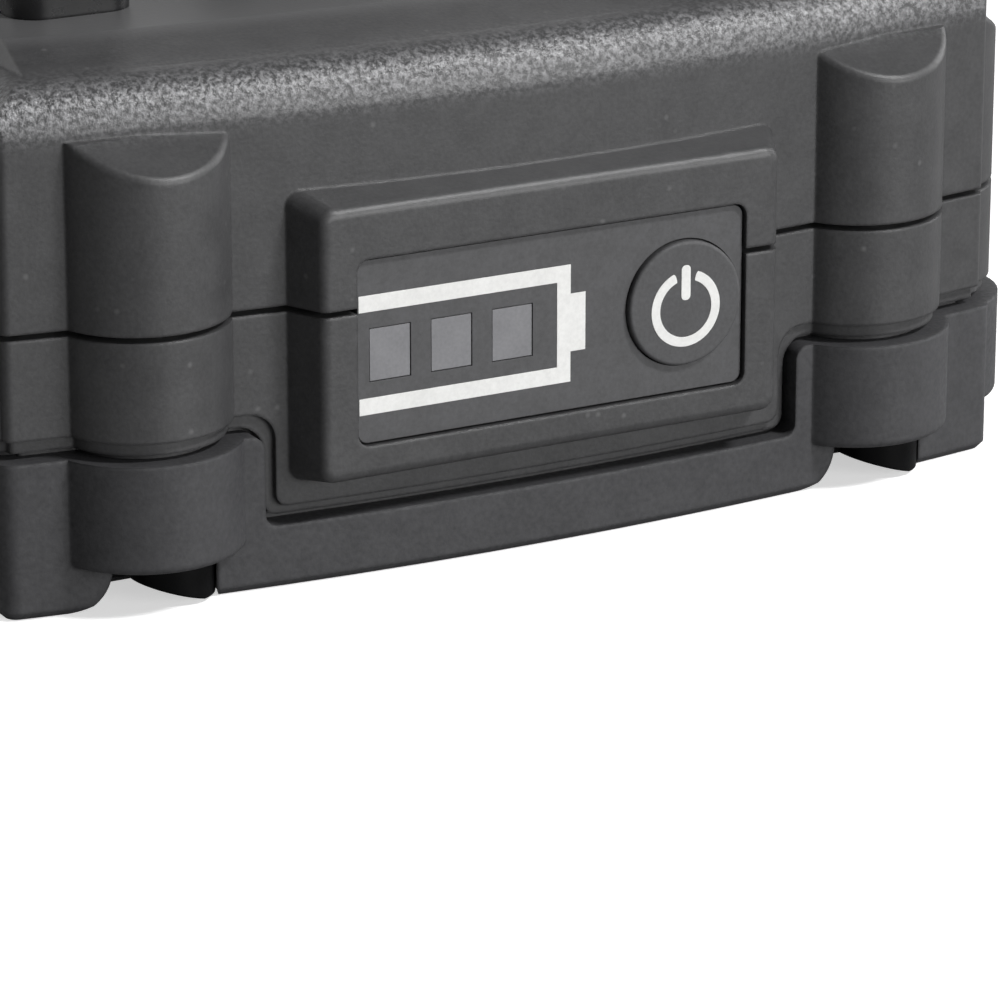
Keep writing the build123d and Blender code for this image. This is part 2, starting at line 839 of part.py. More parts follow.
# Carrier that stands on the floor of the case and holds the gauge board against the bezel
def make_carrier():
    half = carrier_width / 2
    rise = panel_level + gauge_board_height / 2 + carrier_lip
    plate = block(-half, half, gauge_board_back, gauge_board_back + carrier_thickness, floor_top, rise)
    board_half = gauge_board_width / 2
    reach = gauge_board_height / 2 + fit
    lip = bezel_pocket_margin - 2 * fit
    for low in (panel_level - reach - lip, panel_level + reach):
        plate += block(-board_half, board_half,
                       gauge_board_back - carrier_lip_depth, gauge_board_back + overrun,
                       low, low + lip)
    window = gauge_board_height / 2 - carrier_lip
    plate -= block(-board_half + carrier_lip, board_half - carrier_lip, gauge_board_back - fit,
                   gauge_board_back + carrier_thickness + fit, panel_level - window, panel_level + window)
    return plate


def cell_places():
    first = -row_half_length + cell_radius
    return [first + cell_pitch * i for i in range(cell_count)]


# One cell with its raised button end, turned over on every second cell
def make_cell(y, turned):
    side = -1 if turned else 1
    shoulder_x = side * (cell_length / 2 - cell_button_height)
    x0, x1 = sorted((-side * cell_length / 2, shoulder_x))
    can = rod_x(y, cell_axis, cell_radius, x0, x1)
    can = fillet(can.edges().filter_by(GeomType.CIRCLE), cell_edge_radius)
    x0, x1 = sorted((shoulder_x - side * overrun, side * cell_length / 2))
    return can + rod_x(y, cell_axis, cell_button_radius, x0, x1)


# An insulating ring round each cell's raised button
def make_ring(y, turned):
    side = -1 if turned else 1
    shoulder_x = side * (cell_length / 2 - cell_button_height)
    x0, x1 = sorted((shoulder_x, shoulder_x + side * ring_thickness))
    disc = rod_x(y, cell_axis, cell_radius - cell_edge_radius, x0, x1)
    return disc - rod_x(y, cell_axis, ring_hole_radius, x0 - overrun, x1 + overrun)


# One half of the cell holder: a tray with a round trough for every cell
def make_holder(upper):
    z0, z1 = (cell_axis + fit, holder_top) if upper else (holder_bottom, cell_axis - fit)
    tray = block(-holder_half_width, holder_half_width, -holder_half_length, holder_half_length, z0, z1)
    corners = tray.edges().filter_by(Axis.Z)
    tray = chamfer(corners, holder_end_wall)
    for y in cell_places():
        tray -= rod_x(y, cell_axis, cell_radius + fit, -holder_half_width - fit, holder_half_width + fit)
    if upper:
        for x, y in board_screws():
            tray += post(x, y, board_post_radius, holder_top - holder_floor, board_bottom)
            tray -= post(x, y, board_screw_radius + boot_fit,
                         board_top - board_screw_length, board_bottom + fit)
        tray -= post(0, sensor_y(), sensor_hole_radius, cell_axis, holder_top + fit)
    return tray


def board_screws():
    x = board_half_width - board_screw_inset
    ys = (board_y + board_screw_inset, board_end - board_screw_inset)
    return [(side * x, y) for side in (-1, 1) for y in ys]


def make_board():
    board = block(-board_half_width, board_half_width, board_y, board_end, board_bottom, board_top)
    for x, y in board_screws():
        board -= post(x, y, board_screw_radius + fit, board_bottom - fit, board_top + fit)
    return board


# A small pan-head screw, head up
def small_screw(x, y, seat, head_radius, head_height, radius, length):
    return post(x, y, head_radius, seat, seat + head_height) + post(x, y, radius, seat - length, seat)


def make_board_screws():
    return [small_screw(x, y, board_top, board_screw_head_radius, board_screw_head_height,
                        board_screw_radius, board_screw_length) for x, y in board_screws()]


def row_of(count, pitch):
    return [pitch * (i - (count - 1) / 2) for i in range(count)]


# A row of small square parts on the board
def board_row(count, pitch, y, wide, long, tall):
    return [block(x - wide / 2, x + wide / 2, y - long / 2, y + long / 2, board_top, board_top + tall)
            for x in row_of(count, pitch)]


def make_mosfets():
    return board_row(mosfet_count, mosfet_pitch, board_y + mosfet_row,
                     mosfet_width, mosfet_length, mosfet_height)


def make_controller():
    return board_row(1, chip_side, board_y + chip_row, chip_side, chip_side, chip_thickness)[0]


def make_resistors():
    return board_row(resistor_count, resistor_pitch, board_y + resistor_row, resistor_width, resistor_length,
                     resistor_height)


def make_capacitors():
    x = mosfet_pitch * mosfet_count / 2 + capacitor_radius
    return [post(x, board_y + capacitor_row + y, capacitor_radius, board_top, board_top + capacitor_height)
            for y in row_of(capacitor_count, capacitor_pitch)]


# Terminal block with one slot per contact, open at the top and at the tool end
def make_terminal_block():
    body = block(-block_half_width, block_half_width, block_y, rail_end, board_top, block_top)
    tool_end = body.faces().sort_by(Axis.Y)[-1]
    body = fillet(tool_end.edges().filter_by(Axis.Z), block_edge)
    for x in row_of(slot_count, slot_pitch):
        body -= block(x - slot_width / 2, x + slot_width / 2, rail_end - slot_length, rail_end + fit,
                      block_top - slot_depth, block_top + fit)
        half = leaf_room()
        body -= block(x - half, x + half,
                      rail_end - slot_length, rail_end - slot_length + leaf_length + running,
                      board_top - fit, board_top + leaf_height + running)
    return body


def leaf_room():
    return leaf_gap / 2 + leaf_thickness + running + leaf_pinch


# A pair of sprung leaves on a common base, for each slot
def make_contact(x):
    y0 = rail_end - slot_length + fit
    y1 = y0 + leaf_length
    base_top = board_top + leaf_base
    reach = leaf_gap / 2 + leaf_thickness
    contact = block(x - reach, x + reach, y0, y1, board_top, base_top)
    for side in (-1, 1):
        near = x + side * leaf_gap / 2
        x0, x1 = sorted((near, near + side * leaf_thickness))
        contact += block(x0, x1, y0, y1, board_top, board_top + leaf_height)
        pinch_y = (y0 + y1) / 2
        middle = board_top + leaf_height / 2 + base_lift()
        nub = Pos(near, pinch_y, middle) * Cylinder(leaf_pinch, leaf_height * leaf_pinch_share)
        contact += nub
    return contact


def base_lift():
    return leaf_base


# Strips that join the cells in series: pairs on one side, staggered on the other
def strip_groups(side):
    ys = cell_places()
    if side < 0:
        return [ys[i:i + 2] for i in range(0, cell_count, 2)]
    return [ys[:1]] + [ys[i:i + 2] for i in range(1, cell_count, 2)]


def make_strips(side):
    strips = []
    for group in strip_groups(side):
        x0, x1 = sorted((side * strip_x, side * (strip_x + strip_thickness)))
        low = group[0] - strip_width / 2
        high = group[-1] + strip_width / 2
        strip = block(x0, x1, low, high, cell_axis - strip_width / 2, cell_axis + strip_width / 2)
        for y in group:
            strip -= block(x0 - fit, x1 + fit, y - strip_slot_width / 2, y + strip_slot_width / 2,
                           cell_axis - strip_slot_length / 2, cell_axis + strip_slot_length / 2)
        strips.append(strip)
    return strips


# Thin sheet between the strips and the wall of the case
def make_sheet(side):
    near = strip_x + strip_thickness + tab_thickness
    x0, x1 = sorted((side * near, side * (near + sheet_thickness)))
    half = holder_half_length - sheet_margin
    return block(x0, x1, -half, half, holder_bottom + sheet_margin, holder_top - sheet_margin)


# Bent tabs from the strips up to the edge of the board
def make_tabs(side):
    x0 = strip_x + strip_thickness
    tabs = []
    for group in strip_groups(side):
        y = (group[0] + group[-1]) / 2
        if y < board_y + tab_width:
            y = group[-1]
        if y < board_y + tab_width:
            y = board_y + tab_width
        low = cell_axis + strip_width / 2 - tab_overlap
        high = board_top + tab_thickness
        a, b = sorted((side * x0, side * (x0 + tab_thickness)))
        upright = block(a, b, y - tab_width / 2, y + tab_width / 2, low, high)
        inner = board_half_width - tab_on_board
        a, b = sorted((side * inner, side * (x0 + tab_thickness)))
        tabs.append(upright + block(a, b, y - tab_width / 2, y + tab_width / 2, board_top, high))
    return tabs


# Flat ribbon from the gauge board, over the holder and up on to the protection board
def make_ribbon():
    t = ribbon_thickness
    half = ribbon_width / 2
    y0 = gauge_board_back
    up = panel_level + gauge_board_height / 2 - carrier_lip
    level = holder_top + fit
    low = block(-half, half, y0, y0 + t, up - ribbon_width, up)
    back = y0 + carrier_thickness + t
    run = block(-half, half, back, board_y, level, level + t)
    link = block(-half, half, back, back + t, up - t, level + t)
    over = block(-half, half, y0, back + t, up - t, up)
    riser = block(-half, half, board_y - t, board_y, level, board_top + t)
    pad = block(-half, half, board_y - t, board_y + ribbon_pad, board_top, board_top + t)
    return low + over + link + run + riser + pad


def sensor_y():
    return cell_places()[cell_count // 2]


# Temperature sensor: a bead on the middle cell, with two leads up to the board
def make_sensor():
    bead = Pos(0, sensor_y(), cell_axis + cell_radius + sensor_radius) * Sphere(sensor_radius)
    for side in (-1, 1):
        x = side * sensor_lead_gap / 2
        bead += post(x, sensor_y(), sensor_lead_radius,
                     cell_axis + cell_radius + sensor_radius, board_bottom)
    return bead


def make_foam():
    half = foam_width / 2
    return [block(x - half, x + half, -row_half_length, row_half_length, floor_top, holder_bottom)
            for x in (-foam_offset, foam_offset)]


# One rail: a foot on the deck, an upright web and a lip that the tool slides under
def make_rail(side):
    x_web = rail_inner + rail_web
    x_lip = rail_inner + rail_lip_width
    x_foot = rail_inner + rail_foot_width
    foot_top = deck + rail_foot_height
    rail = block(rail_inner, x_foot, rail_y, rail_end, deck, foot_top)
    rail += block(rail_inner, x_web, rail_y, rail_end, deck, rail_top)
    rail += block(rail_inner, x_lip, rail_y, rail_end, foot_top + rail_groove_height, rail_top)
    nose = [e for e in rail.edges().filter_by(Axis.Z) if e.center().Y < rail_y + fit]
    rail = fillet(nose, rail_nose_radius)
    tail_outer = [e for e in rail.edges().filter_by(Axis.Z) if e.center().Y > rail_end - fit]
    tail_outer = [e for e in tail_outer if e.center().X > x_web + fit]
    rail = chamfer(tail_outer, rail_tail_chamfer)
    for x, y in rail_screws():
        if x > 0:
            rail -= post(x, y, rail_screw_radius + boot_fit,
                         deck - fit, deck + rail_screw_length - deck_thickness + fit)
    return rail if side > 0 else mirror(rail, Plane.YZ)


def rail_screws():
    x = rail_inner + rail_web / 2
    return [(side * x, rail_y + (rail_end - rail_y) * share)
            for side in (-1, 1) for share in rail_screw_share]


def make_rail_screws():
    low = deck_under - rail_screw_head_height
    return [post(x, y, rail_screw_head_radius, low, deck_under)
            + post(x, y, rail_screw_radius, deck_under, deck_under + rail_screw_length)
            for x, y in rail_screws()]


# The release latch: thumb pad in front, hook behind, flange that stops it under the deck
def make_latch():
    pad_top = deck + latch_pad_height
    bridge_top = deck + latch_bridge_height
    half = latch_half_width
    body = block(-half, half, latch_y, latch_end, latch_bottom, bridge_top)
    pad_end = latch_y + latch_pad_length
    pad = block(-half, half, latch_y, pad_end, deck, pad_top)
    slope = Plane(origin=(0, latch_y, pad_top - latch_pad_slope), x_dir=(1, 0, 0),
                  z_dir=(0, -latch_pad_slope, latch_pad_length - latch_pad_lip))
    above = Box(4 * half, 4 * latch_pad_length, 2 * latch_pad_height)
    pad -= slope * Pos(0, 0, latch_pad_height) * above
    sides = [e for e in pad.edges() if abs(abs(e.center().X) - half) < fit and e.center().Z > bridge_top]
    pad = fillet([e for e in sides if abs(e.center().Z - pad_top) < latch_pad_slope], latch_edge)
    for i in range(grip_count):
        y = latch_y + latch_pad_length - latch_pad_lip - grip_pitch * (i + 1)
        z = pad_top - latch_pad_slope * (pad_end - latch_pad_lip - y) / (latch_pad_length - latch_pad_lip)
        groove = Box(2 * (half - guide_wall), grip_width, 2 * grip_depth)
        pad -= Pos(0, y, z) * Rot(X=math.degrees(math.atan2(latch_pad_slope, latch_pad_length))) * groove
    hook_y = latch_end - hook_length
    hook = block(-hook_half_width, hook_half_width, hook_y, latch_end, deck, deck + hook_height)
    ramp = [e for e in hook.edges().filter_by(Axis.X)
            if e.center().Y > latch_end - fit and e.center().Z > deck + fit]
    hook = chamfer(ramp, hook_ramp)
    crest = [e for e in hook.edges().filter_by(Axis.X) if e.center().Z > deck + hook_height - fit]
    hook = fillet(crest, latch_edge)
    flange = block(-half - latch_flange, half + latch_flange, latch_y, latch_end, latch_bottom,
                   latch_bottom + latch_flange_height)
    latch = body + pad + hook + flange
    for x in (-spring_offset, spring_offset):
        latch -= post(x, latch_middle(), spring_pocket_radius,
                      latch_bottom - fit, latch_bottom + spring_pocket_depth)
    return latch


# A coil spring between the retainer and the latch
def make_spring(x):
    start = retainer_top + spring_wire_radius + spring_seat_gap
    end = latch_bottom + spring_pocket_depth - spring_wire_radius - spring_seat_gap
    pitch = (end - start) / spring_turns
    path = Helix(pitch, end - start, spring_radius)
    section = Plane(origin=path @ 0, z_dir=path % 0) * Circle(spring_wire_radius)
    return Pos(x, latch_middle(), start) * sweep(section, path=path, is_frenet=True)


# Plate under the latch, with a peg for each spring and a channel for the ribbon
def make_retainer():
    y0 = latch_y - retainer_margin
    y1 = latch_end + retainer_margin
    plate = block(-retainer_half_width, retainer_half_width, y0, y1, retainer_bottom, retainer_top)
    plate -= block(-ribbon_width, ribbon_width, y0 - fit, y1 + fit, retainer_bottom - fit,
                   retainer_bottom + ribbon_channel_height)
    for x in (-spring_offset, spring_offset):
        plate += post(x, latch_middle(), peg_radius, retainer_top - fit, retainer_top + peg_height)
    for x in (-post_offset, post_offset):
        plate -= post(x, latch_middle(), post_screw_radius + fit, retainer_bottom - fit, retainer_top + fit)
        plate -= post(x, latch_middle(), post_screw_head_radius + fit, retainer_bottom - fit,
                      retainer_bottom + post_screw_head_height)
    return plate


def make_retainer_screws():
    head = retainer_bottom + post_screw_head_height
    return [post(x, latch_middle(), post_screw_head_radius, retainer_bottom, head)
            + post(x, latch_middle(), post_screw_radius, head, retainer_bottom + post_screw_length)
            for x in (-post_offset, post_offset)]


# Groups of separate solids keep their own bodies in one file
def group(pieces):
    return Compound(children=[piece.solid() for piece in pieces])


def all_nodes():
    turned = [i % 2 == 1 for i in range(cell_count)]
    ys = cell_places()
    return {
        "upper_shell": make_upper_shell(),
        "lower_shell": make_lower_shell(),
        "bumper_boot": make_boot(),
        "base_plate": make_base_plate(),
        "case_screws": group([case_screw(x, y) for x, y in screw_places()]),
        "gauge_panel": make_panel(),
        "gauge_windows": make_windows(),
        "gauge_button": make_button(),
        "switch_plunger": make_plunger(),
        "gauge_switch": make_switch(),
        "gauge_board": make_gauge_board(),
        "gauge_lamps": group(make_lamps()),
        "light_baffle": make_baffle(),
        "gauge_carrier": make_carrier(),
        "gauge_ribbon": make_ribbon(),
        "cells": group([make_cell(y, t) for y, t in zip(ys, turned)]),
        "cell_rings": group([make_ring(y, t) for y, t in zip(ys, turned)]),
        "cell_holder_lower": make_holder(False),
        "cell_holder_upper": make_holder(True),
        "nickel_strips_left": group(make_strips(-1)),
        "nickel_strips_right": group(make_strips(1)),
        "insulator_sheet_left": make_sheet(-1),
        "insulator_sheet_right": make_sheet(1),
        "sense_tabs_left": group(make_tabs(-1)),
        "sense_tabs_right": group(make_tabs(1)),
        "foam_pads": group(make_foam()),
        "protection_board": make_board(),
        "board_screws": group(make_board_screws()),
        "mosfets": group(make_mosfets()),
        "controller_chip": make_controller(),
        "capacitors": group(make_capacitors()),
        "resistors": group(make_resistors()),
        "temperature_sensor": make_sensor(),
        "terminal_block": make_terminal_block(),
        "terminal_contacts": group([make_contact(x) for x in row_of(slot_count, slot_pitch)]),
        "rail_left": make_rail(-1),
        "rail_right": make_rail(1),
        "rail_screws": group(make_rail_screws()),
        "release_latch": make_latch(),
        "latch_spring_left": make_spring(-spring_offset),
        "latch_spring_right": make_spring(spring_offset),
        "latch_retainer": make_retainer(),
        "retainer_screws": group(make_retainer_screws()),
    }


os.makedirs("parts", exist_ok=True)
for name, shape in all_nodes().items():
    export_step(shape, "parts/" + name + ".step")
    box = shape.bounding_box()
    print(name, len(shape.solids()), round(shape.volume, 1), [round(v, 2) for v in (*box.min, *box.max)])
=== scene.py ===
import json
import math

import bpy
from mathutils import Matrix, Vector


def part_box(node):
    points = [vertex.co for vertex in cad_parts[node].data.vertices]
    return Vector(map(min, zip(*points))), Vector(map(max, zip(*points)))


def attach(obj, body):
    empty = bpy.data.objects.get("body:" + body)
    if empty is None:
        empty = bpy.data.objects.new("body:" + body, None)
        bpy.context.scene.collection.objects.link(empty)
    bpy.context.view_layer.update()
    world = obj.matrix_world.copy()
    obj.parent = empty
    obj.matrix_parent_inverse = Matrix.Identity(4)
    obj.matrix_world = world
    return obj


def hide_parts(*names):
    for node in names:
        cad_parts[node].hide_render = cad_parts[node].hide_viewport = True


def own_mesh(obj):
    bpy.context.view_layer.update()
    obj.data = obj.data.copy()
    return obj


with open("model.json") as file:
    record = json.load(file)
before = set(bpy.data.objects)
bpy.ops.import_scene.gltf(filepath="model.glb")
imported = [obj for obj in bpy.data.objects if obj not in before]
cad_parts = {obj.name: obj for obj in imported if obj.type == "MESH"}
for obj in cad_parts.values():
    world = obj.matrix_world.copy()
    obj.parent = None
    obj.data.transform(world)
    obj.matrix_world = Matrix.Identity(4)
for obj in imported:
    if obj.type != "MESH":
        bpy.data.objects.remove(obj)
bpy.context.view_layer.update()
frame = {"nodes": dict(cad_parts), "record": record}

bpy.ops.object.select_all(action="DESELECT")

MM = 0.001


# Colour and nodes

def srgb(code):
    """An sRGB hex colour as the linear colour that a shader wants."""
    channels = [int(code[i:i + 2], 16) / 255 for i in (1, 3, 5)]
    linear = [c / 12.92 if c <= 0.04045 else ((c + 0.055) / 1.055) ** 2.4 for c in channels]
    return (*linear, 1.0)


def add(tree, kind, links=None, **settings):
    """Adds a node with its settings. An input given a socket is linked to it, and any other is set."""
    node = tree.nodes.new(kind)
    for name, value in settings.items():
        setattr(node, name, value)
    for key, value in (links or {}).items():
        if isinstance(value, bpy.types.NodeSocket):
            tree.links.new(value, node.inputs[key])
        else:
            node.inputs[key].default_value = value
    return node


def new_material(name):
    material = bpy.data.materials.new(name)
    material.use_nodes = True
    tree = material.node_tree
    tree.nodes.clear()
    return material, tree


def per_mm(size_mm):
    """Scale of a pattern whose features have a real size, on Object coordinates in metres."""
    return 1 / (size_mm * MM)


def surface(tree, colour, roughness, normal, **values):
    """The surface of a material, from its colour, roughness and normal, and plain values by input name."""
    body = add(tree, "ShaderNodeBsdfPrincipled",
               {"Base Color": colour, "Roughness": roughness, "Normal": normal,
                **{name.replace("_", " "): value for name, value in values.items()}})
    add(tree, "ShaderNodeOutputMaterial", {"Surface": body.outputs[0]})


def two_tone(tree, factor, dark, light):
    """Colour that runs from dark to light as the factor runs from 0 to 1."""
    mix = add(tree, "ShaderNodeMix", {0: factor, 6: srgb(dark), 7: srgb(light)}, data_type="RGBA")
    return mix.outputs[2]


def edged_bump(tree, height, edge_mm):
    """Bump of a real height, in metres, on a surface whose edges are softly rounded."""
    bump = add(tree, "ShaderNodeBump", {"Height": height, "Strength": 1.0, "Distance": 1.0})
    if edge_mm:
        edge = add(tree, "ShaderNodeBevel", {"Radius": edge_mm * MM}, samples=4)
        tree.links.new(edge.outputs[0], bump.inputs["Normal"])
    return bump.outputs[0]


def moulded(name, dark, light, grain_mm, grain_height_mm, roughness, edge_mm=0.0, ior=1.5, mottle_mm=2.2):
    """A moulded plastic or rubber: mottled colour, grain from the tool, and softly rounded edges."""
    material, tree = new_material(name)
    place = add(tree, "ShaderNodeTexCoord").outputs["Object"]
    grain = add(tree, "ShaderNodeTexNoise",
                {"Vector": place, "Scale": per_mm(grain_mm), "Detail": 3.0, "Roughness": 0.55})
    mottle = add(tree, "ShaderNodeTexNoise",
                 {"Vector": place, "Scale": per_mm(mottle_mm), "Detail": 4.0, "Roughness": 0.6})
    blend = add(tree, "ShaderNodeMath", {0: grain.outputs["Fac"], 1: mottle.outputs["Fac"]}, operation="ADD")
    spread = add(tree, "ShaderNodeMapRange", {"Value": blend.outputs[0], "From Min": 0.7, "From Max": 1.3})
    gloss = add(tree, "ShaderNodeMapRange",
                {"Value": grain.outputs["Fac"], "From Min": 0.3, "From Max": 0.7,
                 "To Min": roughness * 1.12, "To Max": roughness * 0.88})
    height = add(tree, "ShaderNodeMath", {0: grain.outputs["Fac"], 1: grain_height_mm * MM},
                 operation="MULTIPLY")
    surface(tree, two_tone(tree, spread.outputs[0], dark, light), gloss.outputs[0],
            edged_bump(tree, height.outputs[0], edge_mm), IOR=ior)
    return material


def level_step(tree, level, low_mm, high_mm, start=0.0, end=1.0):
    """Runs smoothly from start to end as the height runs between two levels."""
    return add(tree, "ShaderNodeMapRange",
               {"Value": level, "From Min": low_mm * MM, "From Max": high_mm * MM,
                "To Min": start, "To Max": end}, interpolation_type="SMOOTHSTEP").outputs[0]


# Where the finish of the case changes, and where its painted light on the deck and painted shade in the screw
# wells begin, in mm above the floor, and how deep its textures are
PAINTED_SHADE_WELL_LEVELS = (3.9, 4.5)
BAND_RISE_LEVELS = (31.0, 34.7)
BAND_FALL_LEVELS = (34.3, 36.0)
PAINTED_LIGHT_DECK_LEVELS = (36.3, 36.8)
BAND_DEPTH = 0.11
WALL_DEPTH = 0.014
CASE_EDGE = 0.3


def case_shell(name):
    """Case plastic: satin walls, a coarse band round the shoulder whose bright specks are partly painted
    highlight, painted light that makes the deck paler, and painted shade that makes the screw wells near
    black.
    """
    material, tree = new_material(name)
    place = add(tree, "ShaderNodeTexCoord").outputs["Object"]
    level = add(tree, "ShaderNodeSeparateXYZ", {0: place}).outputs["Z"]
    rise = level_step(tree, level, *BAND_RISE_LEVELS)
    fall = level_step(tree, level, *BAND_FALL_LEVELS, 1.0, 0.0)
    band = add(tree, "ShaderNodeMath", {0: rise, 1: fall}, operation="MULTIPLY").outputs[0]
    grain = add(tree, "ShaderNodeTexNoise",
                {"Vector": place, "Scale": per_mm(0.3), "Detail": 3.0, "Roughness": 0.55}).outputs["Fac"]
    mottle = add(tree, "ShaderNodeTexNoise",
                 {"Vector": place, "Scale": per_mm(2.6), "Detail": 4.0, "Roughness": 0.6}).outputs["Fac"]
    pits = add(tree, "ShaderNodeTexNoise",
               {"Vector": place, "Scale": per_mm(0.36), "Detail": 3.0, "Roughness": 0.65}).outputs["Fac"]
    blend = add(tree, "ShaderNodeMath", {0: grain, 1: mottle}, operation="ADD")
    spread = add(tree, "ShaderNodeMapRange", {"Value": blend.outputs[0], "From Min": 0.7, "From Max": 1.3})
    plain = two_tone(tree, spread.outputs[0], "#3d3d3e", "#4b4b4c")
    # Partly painted highlight: the band's pits are painted as bright specks of glitter, over the real coarse
    # texture that the bump gives
    peak = add(tree, "ShaderNodeMapRange", {"Value": pits, "From Min": 0.4, "From Max": 0.74})
    speck_and_painted_glint = two_tone(tree, peak.outputs[0], "#414142", "#b2b2b4")
    crumb = add(tree, "ShaderNodeTexVoronoi", {"Vector": place, "Scale": per_mm(2.6)}).outputs["Distance"]
    dust = add(tree, "ShaderNodeMapRange",
               {"Value": crumb, "From Min": 0.02, "From Max": 0.1, "To Min": 0.18, "To Max": 0.0}).outputs[0]
    # Painted light: above these levels the deck is painted paler than the walls, in place of light falling on
    # it from above
    painted_light_deck = level_step(tree, level, *PAINTED_LIGHT_DECK_LEVELS)
    # Painted shade: below these levels the screw wells are painted near black, in place of the shade deep
    # inside them
    painted_shade_well = level_step(tree, level, *PAINTED_SHADE_WELL_LEVELS, 1.0, 0.0)
    # Mixed in turn over the plain tone: painted light on the deck, the band's specks, dust, and painted shade
    # in the wells
    colour = plain
    for amount, tone in ((painted_light_deck, srgb("#5c5c5d")), (band, speck_and_painted_glint), (dust, srgb("#a0a0a0")),
                         (painted_shade_well, srgb("#0b0b0c"))):
        colour = add(tree, "ShaderNodeMix", {0: amount, 6: colour, 7: tone}, data_type="RGBA").outputs[2]
    gloss = add(tree, "ShaderNodeMapRange", {"Value": band, "To Min": 0.42, "To Max": 0.33})
    fine = add(tree, "ShaderNodeMath", {0: grain, 1: WALL_DEPTH * MM}, operation="MULTIPLY")
    deep = add(tree, "ShaderNodeMath", {0: pits, 1: band}, operation="MULTIPLY")
    height = add(tree, "ShaderNodeMath", {0: deep.outputs[0], 1: BAND_DEPTH * MM, 2: fine.outputs[0]},
                 operation="MULTIPLY_ADD")
    surface(tree, colour, gloss.outputs[0], edged_bump(tree, height.outputs[0], CASE_EDGE), IOR=1.5,
            Specular_IOR_Level=level_step(tree, level, *PAINTED_SHADE_WELL_LEVELS, 0.1, 0.5))
    return material


def worked_metal(name, dark, light, roughness, streak_mm, along=(1.0, 1.0, 1.0), edge_mm=0.05):
    """A metal with fine streaks left by rolling, drawing or turning, stretched along one axis."""
    material, tree = new_material(name)
    place = add(tree, "ShaderNodeTexCoord").outputs["Object"]
    drawn = add(tree, "ShaderNodeMapping", {"Vector": place, "Scale": along})
    streak = add(tree, "ShaderNodeTexNoise",
                 {"Vector": drawn.outputs[0], "Scale": per_mm(streak_mm), "Detail": 4.0, "Roughness": 0.6})
    tarnish = add(tree, "ShaderNodeTexNoise", {"Vector": place, "Scale": per_mm(3.0), "Detail": 3.0})
    gloss = add(tree, "ShaderNodeMapRange",
                {"Value": streak.outputs["Fac"], "From Min": 0.3, "From Max": 0.7,
                 "To Min": roughness - 0.07, "To Max": roughness + 0.1})
    height = add(tree, "ShaderNodeMath", {0: streak.outputs["Fac"], 1: 0.004 * MM}, operation="MULTIPLY")
    surface(tree, two_tone(tree, tarnish.outputs["Fac"], dark, light), gloss.outputs[0],
            edged_bump(tree, height.outputs[0], edge_mm), Metallic=1.0)
    return material


def circuit_laminate(name):
    """Green solder mask over copper tracks, which show as slightly lighter, slightly raised lines."""
    material, tree = new_material(name)
    place = add(tree, "ShaderNodeTexCoord").outputs["Object"]
    track = add(tree, "ShaderNodeTexBrick",
                {"Vector": place, "Scale": 1.0, "Mortar Size": 0.25 * MM, "Mortar Smooth": 0.2,
                 "Brick Width": 3.4 * MM, "Row Height": 1.7 * MM})
    mottle = add(tree, "ShaderNodeTexNoise", {"Vector": place, "Scale": per_mm(1.2), "Detail": 3.0})
    gloss = add(tree, "ShaderNodeMapRange", {"Value": mottle.outputs["Fac"], "To Min": 0.28, "To Max": 0.42})
    height = add(tree, "ShaderNodeMath", {0: track.outputs["Fac"], 1: 0.03 * MM}, operation="MULTIPLY")
    surface(tree, two_tone(tree, track.outputs["Fac"], "#0f3a22", "#1f6a3c"), gloss.outputs[0],
            edged_bump(tree, height.outputs[0], 0.05), IOR=1.52)
    return material


def fibrous(name, dark, light, fibre_mm, roughness):
    """Paper, card or foam: short crossed fibres or cells that mottle and roughen a matte sheet."""
    material, tree = new_material(name)
    place = add(tree, "ShaderNodeTexCoord").outputs["Object"]
    cell = add(tree, "ShaderNodeTexVoronoi", {"Vector": place, "Scale": per_mm(fibre_mm)})
    fuzz = add(tree, "ShaderNodeTexNoise", {"Vector": place, "Scale": per_mm(fibre_mm * 3), "Detail": 5.0})
    height = add(tree, "ShaderNodeMath", {0: cell.outputs["Distance"], 1: 0.05 * MM}, operation="MULTIPLY")
    gloss = add(tree, "ShaderNodeMapRange",
                {"Value": cell.outputs["Distance"], "To Min": roughness - 0.05, "To Max": roughness + 0.05})
    surface(tree, two_tone(tree, fuzz.outputs["Fac"], dark, light), gloss.outputs[0],
            edged_bump(tree, height.outputs[0], 0.0))
    return material


# Camera: placed and aimed as fitted to the photograph

AZIMUTH = math.radians(28.85)
ELEVATION = math.radians(18.67)
DISTANCE = 362.9 * MM
LENS_PER_SENSOR = 5.2916    # focal length over sensor width
AIM_RIGHT = -2.674 * MM
AIM_UP = 2.888 * MM
SENSOR = 36.0
GAUGE_WALL = Vector((0, -55 * MM, 0))

right = Vector((math.cos(AZIMUTH), -math.sin(AZIMUTH), 0))
ahead = Vector((math.sin(AZIMUTH) * math.cos(ELEVATION), math.cos(AZIMUTH) * math.cos(ELEVATION),
                -math.sin(ELEVATION)))
above = Vector((math.sin(AZIMUTH) * math.sin(ELEVATION), math.cos(AZIMUTH) * math.sin(ELEVATION),
                math.cos(ELEVATION)))
camera_data = bpy.data.cameras.new("camera")
camera_data.lens = LENS_PER_SENSOR * SENSOR
camera_data.sensor_width = SENSOR
camera_data.sensor_fit = "HORIZONTAL"
camera_data.clip_start = 0.01
camera = bpy.data.objects.new("camera", camera_data)
bpy.context.collection.objects.link(camera)
turn = Matrix((right, above, -ahead)).transposed().to_4x4()
spot = GAUGE_WALL + AIM_RIGHT * right + AIM_UP * above - DISTANCE * ahead
camera.matrix_world = Matrix.Translation(spot) @ turn
bpy.context.scene.camera = camera


# Materials

